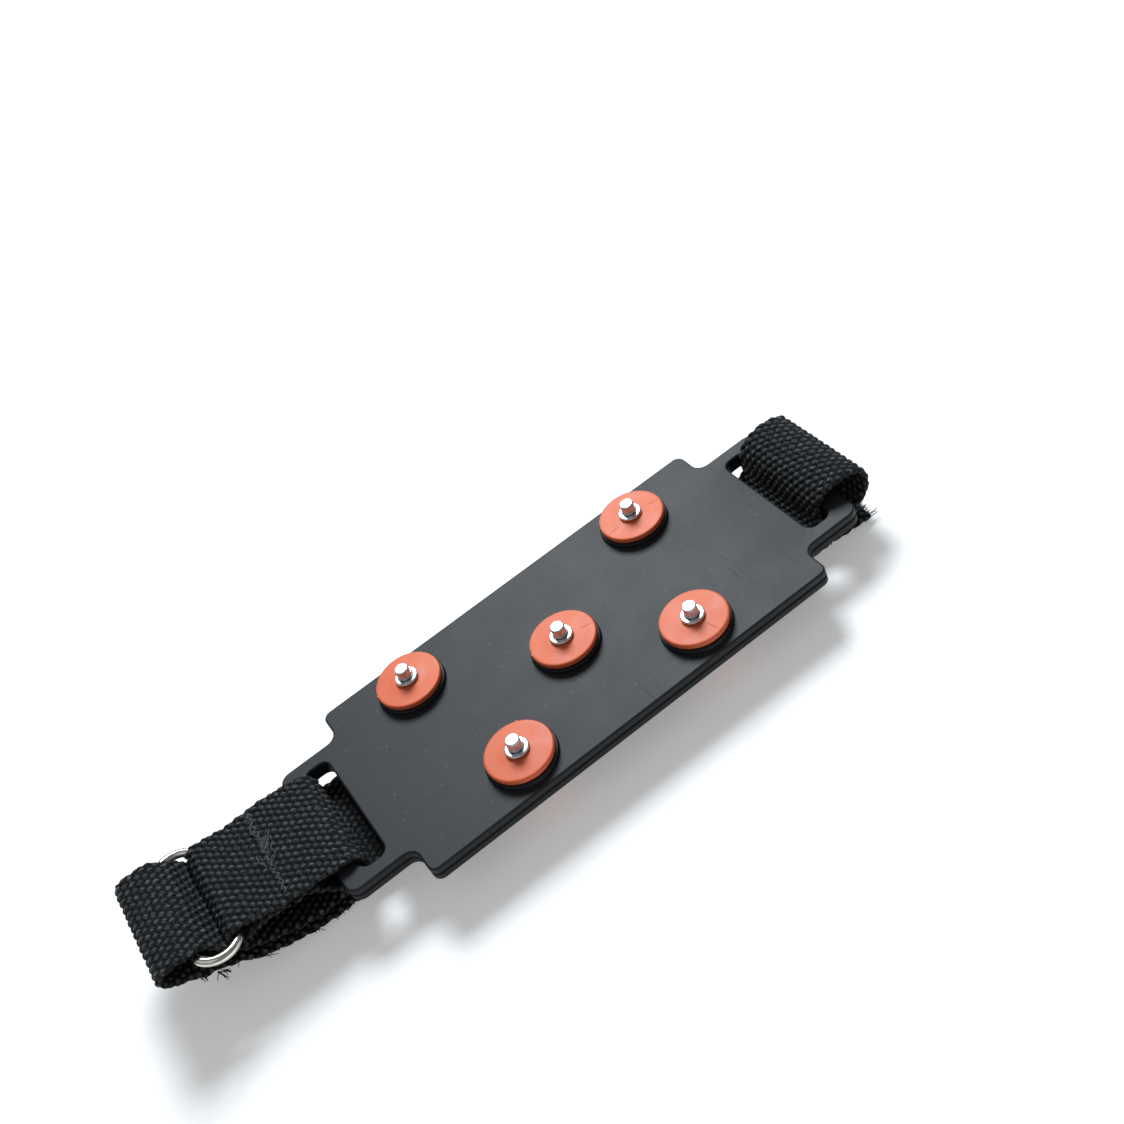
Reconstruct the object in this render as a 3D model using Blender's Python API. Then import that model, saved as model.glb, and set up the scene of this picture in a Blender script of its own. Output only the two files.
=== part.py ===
"""Strap-on ice cleat for one shoe: a rubber plate with five steel studs, held by a webbing strap.

Frame: the cleat lies flat with its studs up and its strap closed underneath it.
+X runs along the plate towards the strap's ear, +Z is the way the studs point, z = 0 is the surface
it lies on, and x = y = 0 is the plate's centre.  All lengths below are in metres.
"""
import math

import bmesh
import bpy
from mathutils import Vector

MM = 0.001
GAP = 0.3 * MM                      # space kept between pieces that touch

# Rubber plate
PLATE_THICK = 5.0 * MM
PLATE_BOTTOM = 11.0 * MM
PLATE_TOP = PLATE_BOTTOM + PLATE_THICK
BODY_HALF_LENGTH = 65.5 * MM
BODY_HALF_WIDTH = 35.2 * MM
EAR_END = 85.4 * MM                 # half the plate's whole length
EAR_HALF_WIDTH = 24.8 * MM
EAR_CORNER_R = 3.5 * MM
BODY_CORNER_R = 2.6 * MM
NOTCH_R = 3.4 * MM
EDGE_ROUND = 0.4 * MM
GROOVE_DEPTH = 0.5 * MM             # parting groove half way up the plate's edge
GROOVE_HALF = 0.3 * MM
SLOT_INNER = 71.3 * MM              # slot's long edges, measured from the plate's centre
SLOT_OUTER = 79.2 * MM
SLOT_HALF_LENGTH = 20.2 * MM
SLOT_CORNER_R = 2.8 * MM
CORNER_STEPS = 5
OVERLAP = 1.0 * MM                  # how far shapes reach into or past the plate before they are joined

# Studs: a trapezoid of four and one in the middle
STUD_PLACES = (
    (40.0 * MM, 23.0 * MM),
    (29.3 * MM, -23.0 * MM),
    (0.0, 0.0),
    (-40.0 * MM, 23.0 * MM),
    (-29.3 * MM, -23.0 * MM),
)
BOSS_R = 10.3 * MM
BOSS_HEIGHT = 1.5 * MM
DISC_R = 9.8 * MM
DISC_THICK = 1.8 * MM
DISC_CHAMFER = 0.5 * MM
RIM_WIDTH = 0.9 * MM                # rounded rim of the outer disc
RIM_SLOPE = 0.2 * MM
RIM_DROP = 0.4 * MM
HUB_R = 3.7 * MM
HUB_RISE = 0.3 * MM                 # how far the outer disc's middle stands above its shoulder
PIN_R = 2.05 * MM
PIN_TIP = PLATE_TOP + 8.45 * MM
PIN_CHAMFER = 0.35 * MM
BORE_R = PIN_R + GAP
COLLAR_R = 3.45 * MM
COLLAR_BORE_R = 2.5 * MM
COLLAR_THICK = 0.9 * MM
INNER_DISC_R = 9.0 * MM
INNER_DISC_BOTTOM = PLATE_BOTTOM - 1.0 * MM
RECESS_DEPTH = 1.5 * MM             # pocket in the plate that holds the inner disc
HEAD_R = 4.4 * MM
HEAD_THICK = 0.8 * MM
HEAD_SINK = 0.15 * MM
DISC_STEPS = 24
PIN_STEPS = 16

# Webbing and tapes
WEB = 1.3 * MM                      # webbing thickness
WEB_HALF_WIDTH = 18.0 * MM
WEB_PINCHED = 17.1 * MM             # half width where the webbing passes through the ring
STRAP_Y = 0.5 * MM                  # the straps lie a little to the +Y side of the middle
LOOP_TAPE = 0.7 * MM
HOOK_TAPE = 0.5 * MM
TAPE_HALF_WIDTH = 17.0 * MM
END_LEVEL = LOOP_TAPE + GAP + WEB / 2
STRAP_LEVEL = END_LEVEL + WEB + 3 * GAP + HOOK_TAPE + LOOP_TAPE
EAR_BAR_X = (SLOT_OUTER + EAR_END) / 2
EAR_BAR_Z = (PLATE_BOTTOM + PLATE_TOP) / 2
EAR_EYE_R = 4.2 * MM                # clears the ear bar's corners as the strap turns round it
SEWN_FROM = 54.0 * MM               # the strap's end is sewn back on it from here
SEWN_TO = 66.0 * MM
LOOP_OPENS = SEWN_TO + 3.0 * MM     # the loop's two layers part here
INNER_TAPE_ENDS = (-72.0 * MM, 76.0 * MM)
OUTER_TAPE_ENDS = (-112.0 * MM, 86.0 * MM)
HOOK_TAPE_ENDS = (12.0 * MM, 76.0 * MM)
STRAP_TIP = 92.5 * MM               # cut tip of the free end

# Ring
WIRE_R = 1.3 * MM
RING_HALF_LENGTH = 19.95 * MM       # to the wire's centre line, along Y
RING_SPACING = 13.0 * MM            # between the centre lines of the ring's two long sides
RING_TILT = math.radians(12.0)
RING_PIVOT = (-112.8 * MM, 19.4 * MM)
RING_EYE_R = 2.05 * MM
RING_EYE_HALF_WIDTH = 16.2 * MM
RING_END_STEPS = 12
WIRE_STEPS = 8
RING_HOLE_X = RING_PIVOT[0] - 7.2 * MM      # where the long strap passes through the ring
PINCH_REACH = 5.0 * MM                      # the strap is narrower this far to either side of it

# Ring strap: two layers that part at each end into a loop
RING_STRAP_FULL_FROM = -EAR_BAR_X - 8.0 * MM
RING_STRAP_NARROW_AT = RING_PIVOT[0] + 6.0 * MM
WAIST_RIGHT = (-92.5 * MM, 18.9 * MM)       # where the two layers lie together
WAIST_LEFT = (-104.0 * MM, 19.9 * MM)
WAIST_GROIN = 1.2 * MM                      # from the waist to the ear loop's inner end
RING_GROIN = 4.6 * MM                       # from the ring's hinge line to the ring loop's inner end
RING_GROIN_DROP = 0.1 * MM
LOOP_STEPS = 18
RING_LOOP_STEPS = 12

# Hinge line of the strap's fold, on its outer skin
FOLD = (-135.55 * MM, 22.7 * MM)
FOLD_INNER_X = -134.9 * MM
RING_FOLD_END = -107.5 * MM         # the part folded over the ring ends here
CURVE_STEPS = 3

# Middle lines of the long strap's curves, as (x, z)
RISE = (
    (FOLD_INNER_X, FOLD[1] + GAP / 2),
    (-134.75 * MM, 23.8 * MM),
    (-133.9 * MM, 24.8 * MM),
    (-132.0 * MM, 25.3 * MM),
    (-128.5 * MM, 25.4 * MM),
    (-124.8 * MM, 24.9 * MM),
    (-121.6 * MM, 23.0 * MM),
    (-119.4 * MM, 20.2 * MM),
    (-117.0 * MM, 17.2 * MM),
    (-113.4 * MM, 14.3 * MM),
    (-108.5 * MM, 11.7 * MM),
    (-102.0 * MM, 9.0 * MM),
    (-94.0 * MM, 6.8 * MM),
    (-86.0 * MM, 5.5 * MM),
    (-78.0 * MM, STRAP_LEVEL),
)
EAR_LOOP = (
    (78.0 * MM, STRAP_LEVEL),
    (84.5 * MM, 5.9 * MM),
    (89.6 * MM, 8.2 * MM),
    (93.2 * MM, 11.9 * MM),
    (94.4 * MM, 15.8 * MM),
    (93.1 * MM, 19.3 * MM),
    (89.5 * MM, 21.2 * MM),
    (85.0 * MM, 21.2 * MM),
    (80.9 * MM, 19.9 * MM),
    (78.4 * MM, 17.3 * MM),
    (77.55 * MM, 14.0 * MM),
    (77.2 * MM, 10.8 * MM),
    (75.4 * MM, 8.6 * MM),
    (71.5 * MM, 7.2 * MM),
    (SEWN_TO, STRAP_LEVEL + WEB),
)
SLOPE = (
    (FOLD_INNER_X, FOLD[1] - GAP / 2),
    (-134.7 * MM, 21.7 * MM),
    (-133.7 * MM, 20.7 * MM),
    (-131.2 * MM, 19.1 * MM),
    (-127.6 * MM, 17.0 * MM),
    (-124.0 * MM, 14.6 * MM),
    (-117.0 * MM, 11.0 * MM),
    (-110.0 * MM, 7.7 * MM),
    (-102.0 * MM, 4.9 * MM),
    (-94.0 * MM, 3.0 * MM),
    (-86.0 * MM, 2.0 * MM),
    (-78.0 * MM, END_LEVEL),
)


def clear_scene():
    for thing in list(bpy.data.objects):
        bpy.data.objects.remove(thing, do_unlink=True)


def finish_material(name, colour, roughness, metallic=0.0):
    material = bpy.data.materials.new(name)
    material.use_nodes = True
    shader = material.node_tree.nodes["Principled BSDF"]
    shader.inputs["Base Color"].default_value = (*colour, 1.0)
    shader.inputs["Roughness"].default_value = roughness
    shader.inputs["Metallic"].default_value = metallic
    material.diffuse_color = (*colour, 1.0)
    return material


def add_object(name, bm, material, smooth_angle=35.0):
    """Make an object from a closed bmesh, with its faces turned outwards."""
    bmesh.ops.remove_doubles(bm, verts=bm.verts, dist=1e-6)
    bmesh.ops.recalc_face_normals(bm, faces=bm.faces)
    mesh = bpy.data.meshes.new(name)
    bm.to_mesh(mesh)
    bm.free()
    mesh.shade_smooth()
    mesh.set_sharp_from_angle(angle=math.radians(smooth_angle))
    mesh.materials.append(material)
    thing = bpy.data.objects.new(name, mesh)
    bpy.context.scene.collection.objects.link(thing)
    return thing


def arc(centre, radius, start, end, steps):
    """Points on a circle about centre, from one angle to another in degrees."""
    points = []
    for step in range(steps + 1):
        angle = math.radians(start + (end - start) * step / steps)
        points.append((centre[0] + radius * math.cos(angle), centre[1] + radius * math.sin(angle)))
    return points


def smooth_curve(points, steps):
    """A Catmull-Rom curve through the points, with its end tangents along the end chords."""
    first = [2 * points[0][axis] - points[1][axis] for axis in (0, 1)]
    last = [2 * points[-1][axis] - points[-2][axis] for axis in (0, 1)]
    knots = [Vector(first)] + [Vector(point) for point in points] + [Vector(last)]
    curve = []
    for before, start, end, after in zip(knots, knots[1:], knots[2:], knots[3:]):
        for step in range(steps):
            t = step / steps
            curve.append(0.5 * (2 * start + (end - before) * t
                                + (2 * before - 5 * start + 4 * end - after) * t ** 2
                                + (3 * start - before - 3 * end + after) * t ** 3))
    curve.append(knots[-2])
    return curve


def offset_curve(curve, distance):
    """The curve moved sideways; a positive distance moves it to the left of its direction."""
    moved = []
    for index, point in enumerate(curve):
        along = curve[min(index + 1, len(curve) - 1)] - curve[max(index - 1, 0)]
        along.normalize()
        moved.append(point + distance * Vector((-along.y, along.x)))
    return moved


def cut_curve(curve, low, high):
    """The part of a curve whose x lies between low and high."""
    return [point for point in curve if low <= point.x <= high]


def point_at(curve, x):
    """The point where a curve that runs towards +X reaches x."""
    for start, end in zip(curve, curve[1:]):
        if start.x < x <= end.x:
            return start.lerp(end, (x - start.x) / (end.x - start.x))
    raise ValueError("the curve does not reach this x")


def stack_loops(bm, loops):
    """Skin loops with equal point counts, and cap the first and the last."""
    rings = [[bm.verts.new(point) for point in loop] for loop in loops]
    for lower, upper in zip(rings, rings[1:]):
        for index in range(len(lower)):
            following = (index + 1) % len(lower)
            bm.faces.new((lower[index], lower[following], upper[following], upper[index]))
    bm.faces.new(rings[0])
    bm.faces.new(rings[-1])


def turned(name, profile, steps, material, place):
    """Spin a closed (radius, height) profile about a vertical axis through place."""
    bm = spun(profile, steps)
    thing = add_object(name, bm, material)
    thing.location = (place[0], place[1], 0.0)
    return thing


def spun(profile, steps, place=(0.0, 0.0)):
    """A bmesh of a closed (radius, height) profile spun about a vertical axis through place."""
    bm = bmesh.new()
    columns = []
    for step in range(steps):
        angle = 2 * math.pi * step / steps
        columns.append([
            bm.verts.new((place[0] + r * math.cos(angle), place[1] + r * math.sin(angle), z))
            for r, z in profile
        ])
    for step, column in enumerate(columns):
        beside = columns[(step + 1) % steps]
        for index in range(len(profile)):
            following = (index + 1) % len(profile)
            corners = [column[index], beside[index], beside[following], column[following]]
            bm.faces.new(corners)
    bmesh.ops.remove_doubles(bm, verts=bm.verts, dist=1e-6)
    bmesh.ops.dissolve_degenerate(bm, edges=bm.edges, dist=1e-7)
    bmesh.ops.recalc_face_normals(bm, faces=bm.faces)
    return bm


def web_half_width(x):
    """The webbing's half width: full everywhere but where the strap passes through the ring."""
    nearness = max(0.0, 1.0 - abs(x - RING_HOLE_X) / PINCH_REACH)
    return WEB_HALF_WIDTH + (WEB_PINCHED - WEB_HALF_WIDTH) * min(1.0, 2.0 * nearness)


def ring_strap_half_width(x):
    """The ring strap's half width: it narrows towards the ring's rounded ends."""
    share = (RING_STRAP_FULL_FROM - x) / (RING_STRAP_FULL_FROM - RING_STRAP_NARROW_AT)
    share = min(1.0, max(0.0, share))
    return WEB_HALF_WIDTH + (RING_EYE_HALF_WIDTH - WEB_HALF_WIDTH) * share


def tape_half_width(x):
    return TAPE_HALF_WIDTH


def web_piece(name, outline, holes, half_width, material):
    """A band across the cleat: an (x, z) outline with holes, carried along Y to both sides."""
    bm = bmesh.new()
    for loop in [outline] + holes:
        corners = [bm.verts.new((point[0], 0.0, point[1])) for point in loop]
        for index in range(len(corners)):
            bm.edges.new((corners[index - 1], corners[index]))
    bmesh.ops.triangle_fill(bm, use_beauty=True, use_dissolve=False, edges=bm.edges)
    grown = bmesh.ops.extrude_face_region(bm, geom=list(bm.faces), use_keep_orig=True)
    far_side = {item for item in grown["geom"] if isinstance(item, bmesh.types.BMVert)}
    for vert in bm.verts:
        side = 1.0 if vert in far_side else -1.0
        vert.co.y = STRAP_Y + side * half_width(vert.co.x)
    return add_object(name, bm, material)


def band_outline(curve, thickness):
    """The outline of a strip of one thickness that follows a curve."""
    return offset_curve(curve, thickness / 2) + offset_curve(curve, -thickness / 2)[::-1]


def plate_outline(inset):
    """The plate's outline in plan, counter-clockwise, moved inwards by inset."""
    corners = []
    for sign_x, sign_y in ((1, 1), (-1, 1), (-1, -1), (1, -1)):
        ear = (sign_x * (EAR_END - EAR_CORNER_R), sign_y * (EAR_HALF_WIDTH - EAR_CORNER_R))
        notch = (sign_x * (BODY_HALF_LENGTH + NOTCH_R), sign_y * (EAR_HALF_WIDTH + NOTCH_R))
        body = (sign_x * (BODY_HALF_LENGTH - BODY_CORNER_R), sign_y * (BODY_HALF_WIDTH - BODY_CORNER_R))
        quarter = {(1, 1): 0, (-1, 1): 90, (-1, -1): 180, (1, -1): 270}[(sign_x, sign_y)]
        ear_arc = arc(ear, EAR_CORNER_R - inset, quarter, quarter + 90, CORNER_STEPS)
        body_arc = arc(body, BODY_CORNER_R - inset, quarter, quarter + 90, CORNER_STEPS)
        if sign_x * sign_y > 0:
            notch_arc = arc(notch, NOTCH_R + inset, quarter + 270, quarter + 180, CORNER_STEPS)
            corners += ear_arc + notch_arc + body_arc
        else:
            notch_arc = arc(notch, NOTCH_R + inset, quarter + 270, quarter + 180, CORNER_STEPS)
            corners += body_arc + notch_arc + ear_arc
    return corners


def slot_outline(sign):
    """One strap slot in plan, a rounded rectangle."""
    low = SLOT_INNER + SLOT_CORNER_R
    high = SLOT_OUTER - SLOT_CORNER_R
    end = SLOT_HALF_LENGTH - SLOT_CORNER_R
    points = arc((high, end), SLOT_CORNER_R, 0, 90, CORNER_STEPS)
    points += arc((low, end), SLOT_CORNER_R, 90, 180, CORNER_STEPS)
    points += arc((low, -end), SLOT_CORNER_R, 180, 270, CORNER_STEPS)
    points += arc((high, -end), SLOT_CORNER_R, 270, 360, CORNER_STEPS)
    return [(sign * x, y) for x, y in points]


def helper(name, bm):
    """A shape that only cuts or adds to another, kept out of the model."""
    bmesh.ops.recalc_face_normals(bm, faces=bm.faces)
    mesh = bpy.data.meshes.new(name)
    bm.to_mesh(mesh)
    bm.free()
    thing = bpy.data.objects.new(name, mesh)
    thing.hide_render = True
    thing.display_type = "WIRE"
    bpy.context.scene.collection.objects.link(thing)
    return thing


def boolean(target, tool, operation):
    step = target.modifiers.new(tool.name, "BOOLEAN")
    step.object = tool
    step.operation = operation
    step.solver = "EXACT"


def merged(pieces):
    """Several separate bmeshes as one."""
    whole = bmesh.new()
    for piece in pieces:
        mesh = bpy.data.meshes.new("piece")
        piece.to_mesh(mesh)
        piece.free()
        whole.from_mesh(mesh)
        bpy.data.meshes.remove(mesh)
    return whole


def boss_shape(place):
    """The round rubber seat that stands on the plate under an outer disc."""
    foot = PLATE_TOP - OVERLAP
    top = PLATE_TOP + BOSS_HEIGHT
    rim = BOSS_R - EDGE_ROUND
    profile = [(0.0, foot), (BOSS_R, foot), (BOSS_R, top - EDGE_ROUND), (rim, top), (0.0, top)]
    return spun(profile, DISC_STEPS, place)


def stud_bore_shape(place):
    """The hole for a stud, with the pocket for its inner disc."""
    below = PLATE_BOTTOM - OVERLAP
    ceiling = PLATE_BOTTOM + RECESS_DEPTH
    above = PLATE_TOP + BOSS_HEIGHT + OVERLAP
    pocket_r = INNER_DISC_R + GAP
    profile = [(0.0, below), (pocket_r, below), (pocket_r, ceiling), (BORE_R, ceiling)]
    profile += [(BORE_R, above), (0.0, above)]
    return spun(profile, DISC_STEPS, place)


def slot_shape(sign):
    bm = bmesh.new()
    levels = (PLATE_BOTTOM - OVERLAP, PLATE_TOP + OVERLAP)
    stack_loops(bm, [[(x, y, z) for x, y in slot_outline(sign)] for z in levels])
    bmesh.ops.recalc_face_normals(bm, faces=bm.faces)
    return bm


def make_sole_plate():
    rubber = finish_material("rubber", (0.045, 0.049, 0.053), 0.55)
    middle = (PLATE_BOTTOM + PLATE_TOP) / 2
    levels = (
        (PLATE_BOTTOM, EDGE_ROUND),
        (PLATE_BOTTOM + EDGE_ROUND, 0.0),
        (middle - GROOVE_HALF, 0.0),
        (middle, GROOVE_DEPTH),
        (middle + GROOVE_HALF, 0.0),
        (PLATE_TOP - EDGE_ROUND, 0.0),
        (PLATE_TOP, EDGE_ROUND),
    )
    bm = bmesh.new()
    stack_loops(bm, [[(x, y, z) for x, y in plate_outline(inset)] for z, inset in levels])
    plate = add_object("sole_plate", bm, rubber)
    bosses = helper("plate_bosses", merged([boss_shape(place) for place in STUD_PLACES]))
    holes = [stud_bore_shape(place) for place in STUD_PLACES] + [slot_shape(-1), slot_shape(1)]
    cutter = helper("plate_holes", merged(holes))
    boolean(plate, bosses, "UNION")
    boolean(plate, cutter, "DIFFERENCE")


def outer_disc_profile():
    """Orange plastic disc on the boss: a rounded rim and a middle that rises to the collar."""
    low = PLATE_TOP + BOSS_HEIGHT + GAP
    shoulder = low + DISC_THICK
    hub = shoulder + HUB_RISE
    return [
        (BORE_R, low),
        (DISC_R - DISC_CHAMFER, low),
        (DISC_R, low + DISC_CHAMFER),
        (DISC_R - RIM_SLOPE, shoulder - RIM_DROP),
        (DISC_R - RIM_WIDTH, shoulder),
        (HUB_R, hub),
        (BORE_R, hub),
    ]


def collar_profile():
    """Steel collar round the pin, a flat ring with a rounded rim."""
    low = PLATE_TOP + BOSS_HEIGHT + DISC_THICK + HUB_RISE + 2 * GAP
    high = low + COLLAR_THICK
    soft = COLLAR_THICK / 3
    return [
        (COLLAR_BORE_R, low), (COLLAR_R - soft, low), (COLLAR_R, low + soft),
        (COLLAR_R, high - soft), (COLLAR_R - soft, high), (COLLAR_BORE_R, high),
    ]


def inner_disc_profile():
    """Orange plastic disc on the shoe side, in its pocket, with a seat for the stud's head."""
    high = PLATE_BOTTOM + RECESS_DEPTH - GAP
    seat_r = HEAD_R + GAP
    seat = INNER_DISC_BOTTOM + HEAD_SINK + HEAD_THICK + GAP
    return [
        (BORE_R, seat),
        (seat_r, seat),
        (seat_r, INNER_DISC_BOTTOM),
        (INNER_DISC_R - DISC_CHAMFER, INNER_DISC_BOTTOM),
        (INNER_DISC_R, INNER_DISC_BOTTOM + DISC_CHAMFER),
        (INNER_DISC_R, high),
        (BORE_R, high),
    ]


def stud_profile():
    """Steel stud: a flat head under the inner disc and a pin through the whole stack."""
    head_low = INNER_DISC_BOTTOM + HEAD_SINK
    head_high = head_low + HEAD_THICK
    return [
        (0.0, head_low), (HEAD_R, head_low), (HEAD_R, head_high), (PIN_R, head_high),
        (PIN_R, PIN_TIP - PIN_CHAMFER), (PIN_R - PIN_CHAMFER, PIN_TIP), (0.0, PIN_TIP),
    ]


def make_studs():
    plastic = finish_material("orange_plastic", (0.82, 0.165, 0.055), 0.3)
    steel = finish_material("zinc_steel", (0.72, 0.73, 0.75), 0.25, 1.0)
    for number, place in enumerate(STUD_PLACES, 1):
        turned(f"outer_disc_{number}", outer_disc_profile(), DISC_STEPS, plastic, place)
        turned(f"inner_disc_{number}", inner_disc_profile(), DISC_STEPS, plastic, place)
        turned(f"stud_collar_{number}", collar_profile(), PIN_STEPS, steel, place)
        turned(f"stud_{number}", stud_profile(), PIN_STEPS, steel, place)


def make_ring_strap(webbing):
    """Short strap sewn round the left ear bar at one end and round the ring at the other."""
    ear = (-EAR_BAR_X, EAR_BAR_Z)
    outline = arc(ear, EAR_EYE_R + WEB, 82, -143, LOOP_STEPS)
    outline += [(WAIST_RIGHT[0], WAIST_RIGHT[1] - WEB), (WAIST_LEFT[0], WAIST_LEFT[1] - WEB)]
    outline += arc(RING_PIVOT, RING_EYE_R + WEB, -65, -275, RING_LOOP_STEPS)
    outline += [(WAIST_LEFT[0], WAIST_LEFT[1] + WEB), (WAIST_RIGHT[0], WAIST_RIGHT[1] + WEB)]
    ear_hole = arc(ear, EAR_EYE_R, 80, -140, LOOP_STEPS)
    ear_hole.append((WAIST_RIGHT[0] + WAIST_GROIN, WAIST_RIGHT[1]))
    ring_hole = arc(RING_PIVOT, RING_EYE_R, -60, -275, RING_LOOP_STEPS)
    ring_hole.append((RING_PIVOT[0] + RING_GROIN, WAIST_LEFT[1] - RING_GROIN_DROP))
    web_piece("ring_strap", outline, [ear_hole, ring_hole], ring_strap_half_width, webbing)


def make_ring():
    """Oval wire ring; its right long side lies in the ring strap's eye and is its hinge line."""
    nickel = finish_material("nickel_wire", (0.74, 0.72, 0.68), 0.2, 1.0)
    radius = RING_SPACING / 2
    straight = RING_HALF_LENGTH - radius
    path = arc((-radius, straight), radius, 0, 180, RING_END_STEPS)
    path += arc((-radius, -straight), radius, 180, 360, RING_END_STEPS)
    bm = bmesh.new()
    upward = Vector((0.0, 0.0, 1.0))
    sections = []
    for index, point in enumerate(path):
        before = Vector(path[index - 1])
        after = Vector(path[(index + 1) % len(path)])
        along = (after - before).normalized()
        outward = Vector((along.y, -along.x, 0.0))
        section = []
        for step in range(WIRE_STEPS):
            angle = 2 * math.pi * step / WIRE_STEPS
            around = math.cos(angle) * outward + math.sin(angle) * upward
            section.append(bm.verts.new(Vector((*point, 0.0)) + WIRE_R * around))
        sections.append(section)
    for index, section in enumerate(sections):
        beside = sections[(index + 1) % len(sections)]
        for step in range(WIRE_STEPS):
            following = (step + 1) % WIRE_STEPS
            bm.faces.new((section[step], beside[step], beside[following], section[following]))
    ring = add_object("ring", bm, nickel, smooth_angle=60.0)
    ring.location = (RING_PIVOT[0], STRAP_Y, RING_PIVOT[1])
    ring.rotation_euler = (0.0, RING_TILT, 0.0)


def make_main_strap(webbing):
    """Long strap, sewn back on itself round the right ear bar, with its fold over the ring."""
    rise = smooth_curve(RISE, CURVE_STEPS)
    over_ring = cut_curve(rise, FOLD[0], RING_FOLD_END) + [point_at(rise, RING_FOLD_END)]
    web_piece("ring_fold", band_outline(over_ring, WEB), [], web_half_width, webbing)
    resumes = RING_FOLD_END + GAP
    lower_rise = [point_at(rise, resumes)] + cut_curve(rise, resumes, 0.0)
    loop = smooth_curve(EAR_LOOP, CURVE_STEPS)
    top = STRAP_LEVEL + WEB / 2
    outline = offset_curve(lower_rise + loop, -WEB / 2)
    outline += [Vector((SEWN_FROM, top + WEB)), Vector((SEWN_FROM, top))]
    outline += offset_curve(lower_rise, WEB / 2)[::-1]
    hole = [point for point in offset_curve(loop, WEB / 2) if point.x > LOOP_OPENS]
    web_piece("main_strap", outline, [hole], web_half_width, webbing)
    cover = [Vector((x, STRAP_LEVEL)) for x in INNER_TAPE_ENDS]
    tape = offset_curve(cover, -(WEB + LOOP_TAPE) / 2 - GAP)
    pile = finish_material("loop_pile", (0.02, 0.021, 0.023), 0.95)
    web_piece("inner_loop_tape", band_outline(tape, LOOP_TAPE), [], tape_half_width, pile)


def make_strap_end(webbing):
    """Free end of the strap, with pile tape on its outer face and hook tape on its inner face."""
    curve = smooth_curve(SLOPE, CURVE_STEPS) + [Vector((STRAP_TIP, END_LEVEL))]
    web_piece("strap_end", band_outline(curve, WEB), [], web_half_width, webbing)
    pile = finish_material("outer_pile", (0.02, 0.021, 0.023), 0.95)
    covered = cut_curve(curve, OUTER_TAPE_ENDS[0], 0.0) + [Vector((OUTER_TAPE_ENDS[1], END_LEVEL))]
    tape = offset_curve(covered, -(WEB + LOOP_TAPE) / 2 - GAP)
    web_piece("outer_loop_tape", band_outline(tape, LOOP_TAPE), [], tape_half_width, pile)
    hooks = finish_material("hook_tape", (0.025, 0.025, 0.027), 0.7)
    grip = [Vector((x, END_LEVEL)) for x in HOOK_TAPE_ENDS]
    hook_line = offset_curve(grip, (WEB + HOOK_TAPE) / 2 + GAP)
    web_piece("hook_tape", band_outline(hook_line, HOOK_TAPE), [], tape_half_width, hooks)


def main():
    clear_scene()
    webbing = finish_material("black_webbing", (0.018, 0.019, 0.021), 0.8)
    make_sole_plate()
    make_studs()
    make_ring_strap(webbing)
    make_ring()
    make_main_strap(webbing)
    make_strap_end(webbing)


main()
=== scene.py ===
"""Looks of the strap-on ice cleat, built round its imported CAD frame.

Lengths below are in millimetres unless a name says otherwise; MM turns them into the frame's metres.
The long strap is one band of webbing.  It is made from one smooth route, cut into pieces where bodies meet.
"""
import math

import bmesh
import bpy
import numpy as np
from mathutils import Euler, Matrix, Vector


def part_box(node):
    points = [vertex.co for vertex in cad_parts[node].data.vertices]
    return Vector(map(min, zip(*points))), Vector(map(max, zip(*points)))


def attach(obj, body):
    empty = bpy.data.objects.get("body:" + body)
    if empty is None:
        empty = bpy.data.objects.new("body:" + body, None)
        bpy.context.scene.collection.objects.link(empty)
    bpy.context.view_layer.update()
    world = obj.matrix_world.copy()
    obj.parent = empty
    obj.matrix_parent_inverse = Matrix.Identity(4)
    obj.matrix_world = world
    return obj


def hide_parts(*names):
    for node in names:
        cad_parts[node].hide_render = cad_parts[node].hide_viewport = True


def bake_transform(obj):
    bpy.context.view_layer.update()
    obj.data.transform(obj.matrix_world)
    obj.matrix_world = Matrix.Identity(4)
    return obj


MM = 0.001
TAU = 2.0 * math.pi

# Webbing
WEB = 1.3                       # thickness before the weave's relief
COLUMN = 1.25                   # width of one lengthwise yarn; 29 of them make the band
ROW = 1.8                       # length of one crossing along the band
KNOT_LIFT = 0.46                # how far a yarn rises and dips at its crossings
KNOT_RADIUS = 0.50
KNOT_MEAN = 0.42                # the weave's average height, taken off so that the band keeps its thickness
KNOT_SWAY = 0.11                # sideways swing of a yarn, as a share of its width
KNOT_JITTER = 0.16              # uneven placing of a yarn, as a share of its width
WEAVE_FLOOR = -0.35             # the gaps between knots go no deeper
FULL_HALF_WIDTH = 18.15
FINE, COARSE = 156, 60          # points across the band on its seen face and on its hidden one
KNOT_STEP = 0.25                # spacing along the band that resolves a knot

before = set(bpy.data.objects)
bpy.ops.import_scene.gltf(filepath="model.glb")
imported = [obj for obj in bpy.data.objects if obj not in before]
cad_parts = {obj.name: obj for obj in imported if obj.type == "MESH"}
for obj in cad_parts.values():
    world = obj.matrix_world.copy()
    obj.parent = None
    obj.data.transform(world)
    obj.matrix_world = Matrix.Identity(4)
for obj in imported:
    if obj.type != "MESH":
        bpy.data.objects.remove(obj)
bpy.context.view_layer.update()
rng = np.random.default_rng(7)


# ---------------------------------------------------------------- frame measures
def box_mm(node):
    low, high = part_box(node)
    return np.array(low) / MM, np.array(high) / MM


plate_low, plate_high = box_mm("sole_plate")
strap_low, strap_high = box_mm("main_strap")
STRAP_Y = (strap_low[1] + strap_high[1]) / 2


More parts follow.
